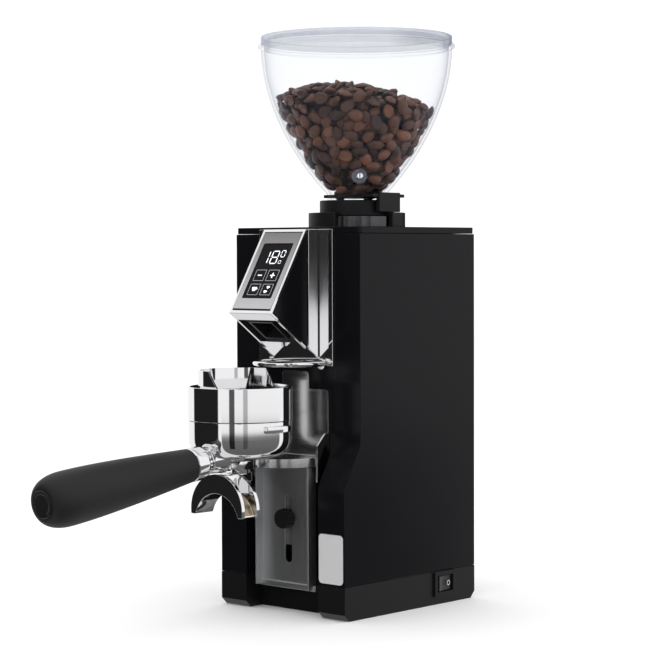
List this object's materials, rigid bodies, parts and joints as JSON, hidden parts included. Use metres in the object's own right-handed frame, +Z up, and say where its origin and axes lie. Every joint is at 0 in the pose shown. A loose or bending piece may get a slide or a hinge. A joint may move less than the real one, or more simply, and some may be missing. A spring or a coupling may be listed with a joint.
{
  "type": "burr coffee grinder",
  "caption": "Upright burr coffee grinder with a clear bean hopper, a tilted display beak, a weighing fork and a portafilter under a dosing funnel.",
  "frame": {"origin": "on the ground under the middle of the case, on the flat underside of the base tray", "axes": "+Z up, the front with the display and the handle faces -Y, +X to the right seen from the front"},
  "size_m": [0.15, 0.3891, 0.4305],
  "materials": {
    "black_paint": "gloss",
    "black_plastic": "satin",
    "rubber": "matte",
    "chrome": "polished",
    "stainless": "polished and brushed",
    "brushed_face": "brushed",
    "aluminium": "as cast",
    "steel": "machined",
    "windings": "laminated and wound",
    "clear_plastic": "clear",
    "display_glass": "gloss",
    "circuit": "satin",
    "beans": "satin",
    "badge_foil": "satin",
    "grip": "satin"
  },
  "bodies": {
    "frame": {"case_shell": "black_paint", "base_tray": "black_plastic", "foot_front_left": "rubber", "foot_front_right": "rubber", "foot_rear_left": "rubber", "foot_rear_right": "rubber", "top_cover": "black_paint", "switch_frame": "black_plastic", "cable_gland": "black_plastic", "leg_badge": "badge_foil", "hopper_plinth": "black_plastic", "hopper_collar": "black_plastic", "grinding_chamber": "aluminium", "motor_stator": "windings", "motor_top_bell": "aluminium", "motor_bottom_bell": "aluminium", "upper_bearing": "steel", "lower_bearing": "steel", "run_capacitor": "badge_foil", "control_board": "circuit", "power_supply": "circuit", "display_bezel": "brushed_face", "display_glass": "display_glass", "display_board": "circuit", "neck_bracket": "chrome", "beak_shell": "chrome", "beak_cheek_left": "black_paint", "beak_cheek_right": "black_paint", "outlet_chute": "black_plastic", "outlet_plate": "black_plastic", "bail": "chrome", "load_arm": "aluminium", "load_cell": "aluminium", "load_cell_bracket": "steel"},
    "rotor": {"motor_shaft": "steel", "motor_rotor": "steel", "lower_burr_carrier": "aluminium", "lower_burr": "steel", "cooling_fan": "black_plastic"},
    "dial": {"grind_dial": "steel"},
    "burr_carrier": {"upper_burr_carrier": "aluminium", "upper_burr": "steel"},
    "hopper_unit": {"hopper": "clear_plastic", "coffee_beans": "beans", "hopper_screw": "chrome"},
    "lid": {"hopper_lid": "clear_plastic"},
    "gate": {"hopper_gate": "black_plastic"},
    "rocker": {"switch_rocker": "black_plastic"},
    "fork": {"fork_cradle": "stainless", "fork_slide": "stainless"},
    "knob": {"clamp_knob": "black_plastic"},
    "portafilter": {"portafilter_body": "chrome", "filter_basket": "stainless", "double_spout": "chrome", "handle_ferrule": "chrome", "handle_grip": "grip", "handle_cap": "black_plastic"},
    "funnel": {"dosing_funnel": "chrome"}
  },
  "joints": [
    {"name": "rotor_spin", "type": "hinge", "parent": "frame", "child": "rotor", "pos_m": [0, 0.01, 0.16], "axis": [0, 0, 1], "continuous": true},
    {"name": "dial_turn", "type": "hinge", "parent": "frame", "child": "dial", "pos_m": [0, 0.01, 0.29], "axis": [0, 0, 1], "range_deg": [-30, 270]},
    {"name": "carrier_lift", "type": "slide", "parent": "frame", "child": "burr_carrier", "axis": [0, 0, 1], "range_m": [-0.00012, 0.00095]},
    {"name": "hopper_lift", "type": "slide", "parent": "frame", "child": "hopper_unit", "axis": [0, 0, 1], "range_m": [0, 0.05]},
    {"name": "lid_lift", "type": "slide", "parent": "hopper_unit", "child": "lid", "axis": [0, 0, 1], "range_m": [0, 0.06]},
    {"name": "gate_pull", "type": "slide", "parent": "hopper_unit", "child": "gate", "axis": [1, 0, 0], "range_m": [0, 0.036]},
    {"name": "rocker_tilt", "type": "hinge", "parent": "frame", "child": "rocker", "pos_m": [0.0621, 0.0379, 0.0154], "axis": [0, 0, -1], "range_deg": [0, 14]},
    {"name": "fork_height", "type": "slide", "parent": "frame", "child": "fork", "axis": [0, 0, 1], "range_m": [-0.0135, 0]},
    {"name": "knob_turn", "type": "hinge", "parent": "frame", "child": "knob", "pos_m": [0, -0.07, 0.06987], "axis": [0, -1, 0], "range_deg": [0, 360]},
    {"name": "portafilter_pull", "type": "slide", "parent": "fork", "child": "portafilter", "axis": [0, -1, 0], "range_m": [0, 0.14]},
    {"name": "funnel_turn", "type": "hinge", "parent": "portafilter", "child": "funnel", "pos_m": [0, -0.1176, 0.16], "axis": [0, 0, 1], "continuous": true}
  ],
  "couplings": [
    {"joint": "carrier_lift", "follows": "dial_turn", "m_per_rad": 0.00019099}
  ]
}
